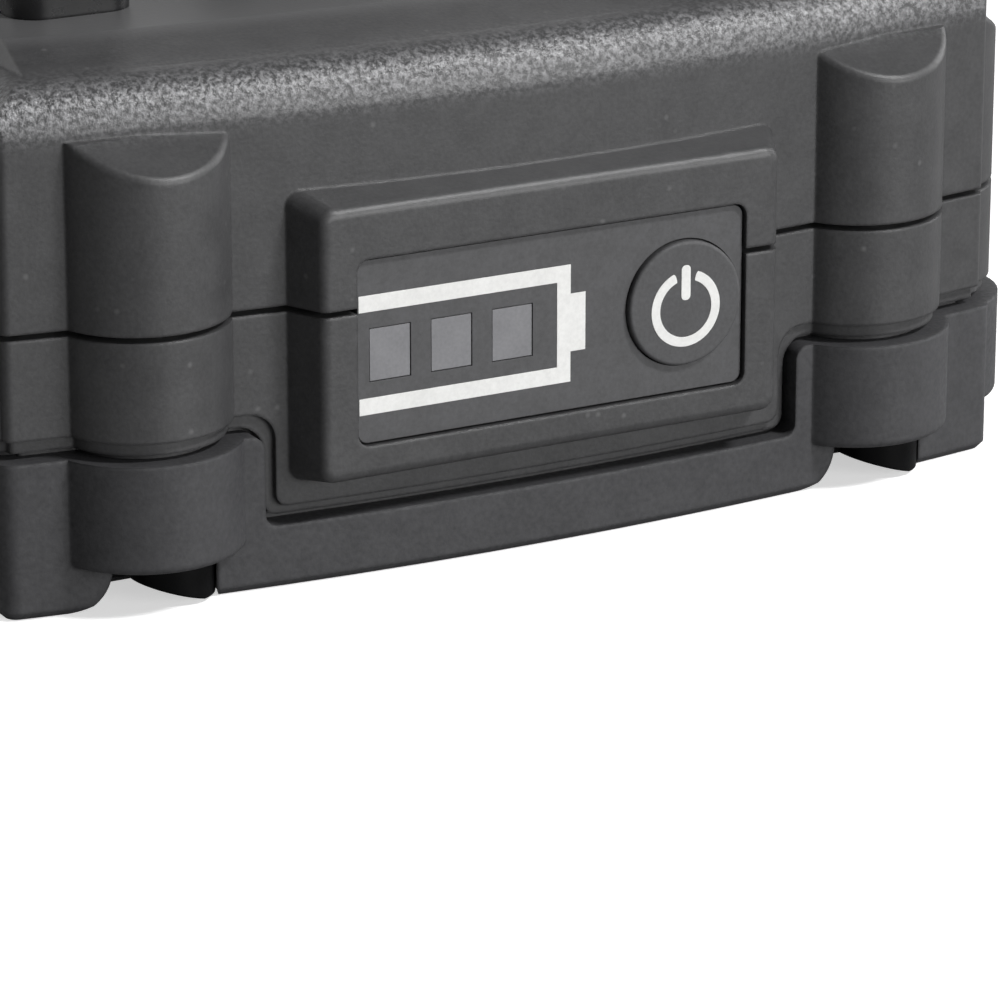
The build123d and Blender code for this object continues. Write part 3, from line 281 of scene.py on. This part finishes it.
# Glass-filled nylon, injection moulded: charcoal and satin, with a coarse band round the shoulder, where the
# tool was spark-eroded; its glitter is partly painted highlight in bright specks.
# The deck is painted a little paler as painted light, and the screw wells are painted near black as painted
# shade
case_plastic = case_shell("glass_filled_nylon_case")
# Thermoplastic elastomer, overmoulded: a dull, even charcoal with soft edges that catch a thin line of light
boot_rubber = moulded("thermoplastic_rubber_bumper", "#38383a", "#444446", 0.4, 0.02, 0.62, 0.4)
# Polycarbonate film with a velvet back print: an even dark grey, a little lighter than the case round it
panel_film = moulded("velvet_polycarbonate_panel", "#4a4a4b", "#545456", 0.3, 0.01, 0.55, 0.06)
# Silicone rubber, moulded: the same grey as the panel, duller, with a soft rim
button_rubber = moulded("silicone_rubber_button", "#484849", "#525254", 0.3, 0.01, 0.6, 0.15)
# Acrylic with a diffuser in it, moulded: flat milky grey squares while the lamps are off
window_plastic = moulded("milky_acrylic_window", "#7b7b7e", "#88888b", 0.25, 0.004, 0.4, 0.05)
# Acetal, moulded in a polished tool: near black, with clear reflections for the tool to slide on
rail_plastic = moulded("polished_acetal_rail", "#161617", "#1f1f20", 0.8, 0.003, 0.29, 0.3, 1.48)
# Nylon, moulded: near black satin with a fine grain, on the thumb latch
latch_plastic = moulded("black_nylon_latch", "#202021", "#2b2b2c", 0.45, 0.02, 0.45, 0.25)
# Glass-filled polyester, moulded: near black and slightly dusty from the filler
terminal_plastic = moulded("glass_filled_polyester_block", "#1d1d1e", "#29292a", 0.35, 0.015, 0.5, 0.2)
# ABS, moulded: plain dark grey with hardly any grain, for hidden frames
inner_plastic = moulded("grey_abs_frame", "#2a2a2b", "#343436", 0.6, 0.008, 0.45, 0.1)
# ABS alloy, moulded: pale blue-grey and satin, for the trays round the cells
holder_plastic = moulded("pale_abs_tray", "#8d9297", "#9ca1a6", 0.6, 0.01, 0.42, 0.15)
# Acetal, natural: off-white and slightly waxy, for the plunger
white_plastic = moulded("natural_acetal", "#c9c8c2", "#d8d7d2", 0.6, 0.004, 0.35, 0.05)
# Heat-shrunk PVC: a smooth deep blue sleeve with broad soft highlights
cell_wrap = moulded("shrunk_pvc_sleeve", "#1d3d66", "#254a78", 1.6, 0.004, 0.28, 0.0, 1.53)
# Epoxy moulding compound: flat black with a fine sandy skin
chip_black = moulded("epoxy_chip_package", "#171717", "#222223", 0.2, 0.006, 0.55, 0.03)
# Epoxy dip: glossy black bead
sensor_resin = moulded("dipped_epoxy_bead", "#141414", "#1d1d1d", 0.5, 0.003, 0.2, 0.0)
# Polyimide ribbon: amber film, thin and glossy
ribbon_film = moulded("polyimide_ribbon", "#8a4f17", "#a0601f", 1.2, 0.004, 0.25, 0.0, 1.6)
# Lamp package: small pale yellow block of silicone over a white cup
lamp_body = moulded("lamp_silicone", "#d6cf9a", "#e2dcae", 0.3, 0.004, 0.3, 0.02)
# Glass-epoxy laminate: green with lighter tracks under the mask
circuit_board = circuit_laminate("solder_masked_laminate")
# Vulcanised paper: white, matte, slightly fibrous rings
white_paper = fibrous("white_vulcanised_paper", "#c8c6be", "#dcdad2", 0.2, 0.8)
# Fish paper: grey-green board with short fibres
paper = fibrous("insulating_fish_paper", "#6f7a6c", "#808b7c", 0.25, 0.75)
# Closed-cell foam: black, with fine pores
foam = fibrous("closed_cell_foam", "#1b1b1b", "#2a2a2a", 0.45, 0.85)
# Zinc-plated steel, cold headed: bright bluish screws with fine turning marks
screw_steel = worked_metal("zinc_plated_steel", "#8c9094", "#a9adb1", 0.32, 0.25)
# Nickel strip, rolled: warm bright metal with streaks along the strip
nickel = worked_metal("rolled_nickel", "#9c958a", "#b5aea2", 0.3, 0.3, (1.0, 0.12, 1.0))
# Tin-plated brass, stamped: pale yellow springs with fine rolling lines
contact_brass = worked_metal("stamped_brass", "#a98f52", "#c2a866", 0.28, 0.2, (1.0, 0.15, 1.0))
# Spring wire, drawn: dark bright steel with lines along the wire
spring_steel = worked_metal("drawn_spring_wire", "#6a6c6f", "#83868a", 0.3, 0.15)
# Stainless dome cover of the switch: bright and brushed
switch_metal = worked_metal("brushed_stainless", "#8b8c8d", "#a4a5a6", 0.35, 0.15, (0.15, 1.0, 1.0))
# Aluminium can: pale brushed sleeve
capacitor_can = worked_metal("drawn_aluminium_can", "#9fa1a3", "#b7b9bb", 0.35, 0.2, (1.0, 1.0, 0.15))
# Anodised aluminium plate: bare, dark grey, brushed along its length
plate = worked_metal("anodised_aluminium_plate", "#4f5052", "#616264", 0.42, 0.25, (1.0, 0.1, 1.0))
# Screen ink, printed thick: matte white with faint weave and pinholes
ink = moulded("screen_printed_white_ink", "#e6e6e4", "#f4f4f2", 0.3, 0.004, 0.7)

slots = {
    "shell_plastic": case_plastic, "boot_rubber": boot_rubber, "plate": plate, "screw_steel": screw_steel,
    "panel_plastic": panel_film, "window_plastic": window_plastic, "button_rubber": button_rubber,
    "white_plastic": white_plastic, "switch_metal": switch_metal, "circuit_board": circuit_board,
    "lamp_body": lamp_body, "inner_plastic": inner_plastic, "ribbon": ribbon_film, "cell_wrap": cell_wrap,
    "white_paper": white_paper, "holder_plastic": holder_plastic, "nickel": nickel, "paper": paper,
    "foam": foam, "chip_black": chip_black, "capacitor_can": capacitor_can, "sensor_resin": sensor_resin,
    "terminal_plastic": terminal_plastic, "contact_brass": contact_brass, "rail_plastic": rail_plastic,
    "latch_plastic": latch_plastic, "spring_steel": spring_steel,
}
for entry in frame["record"]["subparts"]:
    for slot in frame["nodes"][entry["node"]].material_slots:
        slot.material = slots[entry["material_slot"]]


# Printed symbols

def pick(piece, test):
    """Selects the faces whose centre passes a test, and goes to edit mode."""
    bpy.ops.mesh.select_mode(type="FACE")
    bpy.ops.mesh.select_all(action="DESELECT")
    bpy.ops.object.mode_set(mode="OBJECT")
    for face in piece.data.polygons:
        face.select = test(face.center)
    bpy.ops.object.mode_set(mode="EDIT")


def flat_piece(name, x0, x1, z0, z1, y):
    """A flat rectangle that faces the gauge end, at its size and place."""
    bpy.ops.mesh.primitive_plane_add(size=1, location=((x0 + x1) / 2 * MM, y * MM, (z0 + z1) / 2 * MM),
                                     rotation=(math.pi / 2, 0, 0))
    piece = bpy.context.object
    piece.name = name
    piece.scale = ((x1 - x0) * MM, (z1 - z0) * MM, 1)
    bpy.ops.object.transform_apply(location=True, rotation=True, scale=True)
    return piece


def cut(x=None, z=None):
    """Cuts the whole mesh being edited along an upright or a level line."""
    bpy.ops.mesh.select_all(action="SELECT")
    place, facing = ((x * MM, 0, 0), (1, 0, 0)) if z is None else ((0, 0, z * MM), (0, 0, 1))
    bpy.ops.mesh.bisect(plane_co=place, plane_no=facing)


def round_corners(piece, radius_mm):
    """Rounds the corners of flat ink: every point where only one face meets the outline at an angle."""
    bpy.ops.mesh.select_mode(type="VERT")
    bpy.ops.mesh.select_all(action="DESELECT")
    bpy.ops.object.mode_set(mode="OBJECT")
    count = [0] * len(piece.data.vertices)
    for face in piece.data.polygons:
        for index in face.vertices:
            count[index] += 1
    for point in piece.data.vertices:
        point.select = count[point.index] == 1
    bpy.ops.object.mode_set(mode="EDIT")
    bpy.ops.mesh.bevel(offset=radius_mm * MM, segments=5, affect="VERTICES")


def print_on(piece, thickness_mm, body):
    """Gives flat ink its thickness and a softened edge, and prints it on a body of the pack."""
    bpy.ops.object.mode_set(mode="OBJECT")
    solid = piece.modifiers.new("thickness", "SOLIDIFY")
    solid.thickness = thickness_mm * MM
    solid.offset = 1.0
    bpy.ops.object.modifier_apply(modifier="thickness")
    soft = piece.modifiers.new("edge", "BEVEL")
    soft.width = thickness_mm * MM / 3
    soft.segments = 1
    bpy.ops.object.modifier_apply(modifier="edge")
    piece.data.materials.clear()
    piece.data.materials.append(ink)
    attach(piece, body)
    bpy.ops.object.select_all(action="DESELECT")


# Faces that the ink lies on, and its thickness, in mm
PANEL_FACE = -56.85
BUTTON_FACE = -57.3
INK = 0.03

# Battery outline that runs off the left edge of the panel: its lines across the panel and up it, in mm
OUTLINE_LEFT = -14.72
INSIDE_RIGHT = 0.3
CELL_RIGHT = 1.35
NUB_RIGHT = 2.5
CELL_LOW = 11.85
INSIDE_LOW = 13.0
NUB_LOW = 13.98
NUB_HIGH = 18.05
INSIDE_HIGH = 18.95
CELL_HIGH = 20.1

outline = flat_piece("battery_outline_ink", OUTLINE_LEFT, NUB_RIGHT, CELL_LOW, CELL_HIGH, PANEL_FACE)
bpy.ops.object.mode_set(mode="EDIT")
for x in (INSIDE_RIGHT, CELL_RIGHT):
    cut(x=x)
for z in (INSIDE_LOW, NUB_LOW, NUB_HIGH, INSIDE_HIGH):
    cut(z=z)


def bare(centre):
    """Where the outline leaves the panel bare: the middle of the cell, and above and below its nub."""
    x, z = centre.x / MM, centre.z / MM
    inside = x < INSIDE_RIGHT and INSIDE_LOW < z < INSIDE_HIGH
    beside_nub = x > CELL_RIGHT and not NUB_LOW < z < NUB_HIGH
    return inside or beside_nub


pick(outline, bare)
bpy.ops.mesh.delete(type="FACE")
print_on(outline, INK, "pack_body")

# Power mark: a ring that is open at the top, and a bar that stands in the opening
CENTRE_X = 10.12
CENTRE_Z = 15.86
RING_RADIUS = 2.7
RING_POINTS = 96
STROKE = 0.68
GAP_HALF_ANGLE = 19.0
BAR_HALF_WIDTH = 0.36
BAR_LOW = 16.45
BAR_HIGH = 18.93
INK_CORNER = 0.32

bpy.ops.mesh.primitive_circle_add(vertices=RING_POINTS, radius=RING_RADIUS * MM, fill_type="NGON",
                                  location=(CENTRE_X * MM, BUTTON_FACE * MM, CENTRE_Z * MM),
                                  rotation=(math.pi / 2, 0, 0))
ring = bpy.context.object
ring.name = "power_mark_ink"
bpy.ops.object.transform_apply(location=True, rotation=True, scale=True)
bpy.ops.object.mode_set(mode="EDIT")
bpy.ops.mesh.select_all(action="SELECT")
bpy.ops.mesh.inset(thickness=STROKE * MM)
bpy.ops.mesh.delete(type="FACE")


def open_top(centre):
    """The gap at the top of the ring."""
    x, z = centre.x / MM - CENTRE_X, centre.z / MM - CENTRE_Z
    return abs(math.degrees(math.atan2(x, z))) < GAP_HALF_ANGLE


pick(ring, open_top)
bpy.ops.mesh.delete(type="FACE")
bpy.ops.object.mode_set(mode="OBJECT")
bar = flat_piece("power_bar", CENTRE_X - BAR_HALF_WIDTH, CENTRE_X + BAR_HALF_WIDTH, BAR_LOW, BAR_HIGH,
                 BUTTON_FACE)
bpy.ops.object.select_all(action="DESELECT")
bar.select_set(True)
ring.select_set(True)
bpy.context.view_layer.objects.active = ring
bpy.ops.object.join()
bpy.ops.object.mode_set(mode="EDIT")
round_corners(ring, INK_CORNER)
print_on(ring, INK, "button")


# Latch springs: coils as in the solids, in place of their CAD springs

WIRE_RADIUS = 0.3     # mm
TURNS = 5
WIRE_POINTS = 12
TURN_STEPS = 32


def make_coil(side):
    """A coil in place of its CAD spring, which is rigid. Its foot stays on the plate under the latch."""
    node = "latch_spring_" + side
    low, high = (Vector(corner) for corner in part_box(node))
    wire = WIRE_RADIUS * MM
    height = high.z - low.z
    bpy.ops.mesh.primitive_circle_add(vertices=WIRE_POINTS, radius=wire, rotation=(math.pi / 2, 0, 0),
                                      location=((high.x - low.x) / 2 - wire, 0, 0))
    coil = bpy.context.object
    coil.name = "latch_coil_" + side
    bpy.ops.object.transform_apply(location=True, rotation=True, scale=True)
    winding = coil.modifiers.new("turns", "SCREW")
    winding.screw_offset = (height - 2 * wire) / TURNS
    winding.iterations = TURNS
    winding.steps = TURN_STEPS
    winding.render_steps = TURN_STEPS
    bpy.ops.object.modifier_apply(modifier="turns")
    bpy.ops.object.mode_set(mode="EDIT")
    bpy.ops.mesh.select_all(action="SELECT")
    bpy.ops.mesh.fill_holes(sides=0)
    bpy.ops.mesh.normals_make_consistent(inside=False)
    bpy.ops.object.mode_set(mode="OBJECT")
    bpy.ops.object.shade_smooth()
    foot = Vector(((low.x + high.x) / 2, (low.y + high.y) / 2, low.z))
    coil.location = foot + Vector((0, 0, wire))
    bpy.ops.object.transform_apply(location=True, rotation=True, scale=True)
    coil.data.materials.clear()
    coil.data.materials.append(spring_steel)
    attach(coil, "pack_body")
    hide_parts(node)
    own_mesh(coil)
    bpy.ops.object.select_all(action="DESELECT")


for side in ("left", "right"):
    make_coil(side)


# Floor, world and lamps

def shown(tree, lit, glossy, seen=1.0):
    """Strength of a glow: lit on the object, glossy in its reflections, and seen by the camera."""
    path = add(tree, "ShaderNodeLightPath").outputs
    clear = add(tree, "ShaderNodeMath", {0: path["Is Camera Ray"], 1: path["Is Transmission Ray"]},
                operation="MAXIMUM")
    sheen = add(tree, "ShaderNodeMath", {0: path["Is Glossy Ray"], 1: glossy}, operation="MULTIPLY")
    most = add(tree, "ShaderNodeMath", {0: clear.outputs[0], 1: sheen.outputs[0]}, operation="MAXIMUM")
    return add(tree, "ShaderNodeMapRange",
               {"Value": most.outputs[0], "To Min": lit, "To Max": seen}).outputs[0]


# The camera sees the paper almost white, with the object's shadow on it, but it throws little light back
floor_material, tree = new_material("pale_paper_sweep")
seen_face = add(tree, "ShaderNodeLightPath").outputs["Is Camera Ray"]
paper_face = add(tree, "ShaderNodeBsdfDiffuse", {"Color": two_tone(tree, seen_face, "#8c8c8c", "#f4f4f4")})
glow = add(tree, "ShaderNodeEmission", {"Color": (1, 1, 1, 1), "Strength": shown(tree, 0.0, 0.1, 0.55)})
both = add(tree, "ShaderNodeAddShader", {0: paper_face.outputs[0], 1: glow.outputs[0]})
add(tree, "ShaderNodeOutputMaterial", {"Surface": both.outputs[0]})
bpy.ops.mesh.primitive_plane_add(size=4, location=(0, 0, 0))
floor = bpy.context.object
floor.name = "floor"
floor.data.materials.append(floor_material)

world = bpy.data.worlds.new("studio")
bpy.context.scene.world = world
world.use_nodes = True
tree = world.node_tree
tree.nodes.clear()
sky = add(tree, "ShaderNodeBackground", {"Color": (1, 1, 1, 1), "Strength": shown(tree, 0.06, 0.1)})
add(tree, "ShaderNodeOutputWorld", {"Surface": sky.outputs[0]})


def softbox(name, centre, aim, width, height, power):
    """A rectangular lamp, with its place, aim and size in metres and its power in watts."""
    light = bpy.data.lights.new(name, "AREA")
    light.shape = "RECTANGLE"
    light.size = width
    light.size_y = height
    light.energy = power
    lamp = bpy.data.objects.new(name, light)
    bpy.context.collection.objects.link(lamp)
    lamp.location = centre
    lamp.rotation_euler = (Vector(aim) - Vector(centre)).to_track_quat("-Z", "Y").to_euler()


softbox("front_box", (0.45, -1.15, 0.22), (0, -0.05, 0.02), 0.9, 0.45, 8.5)
softbox("high_box", (0.4, -0.55, 0.74), (0, -0.05, 0.03), 0.14, 0.14, 6.0)
softbox("right_box", (1.0, -0.05, 0.35), (0, 0, 0.02), 0.6, 0.6, 4.6)
softbox("back_box", (0.5, 1.1, 0.4), (0, 0, 0.03), 1.8, 0.7, 2.5)
softbox("left_back_box", (-0.85, 0.85, 0.5), (0, 0, 0.03), 1.0, 0.7, 5.0)

bpy.context.scene.view_settings.view_transform = "Standard"
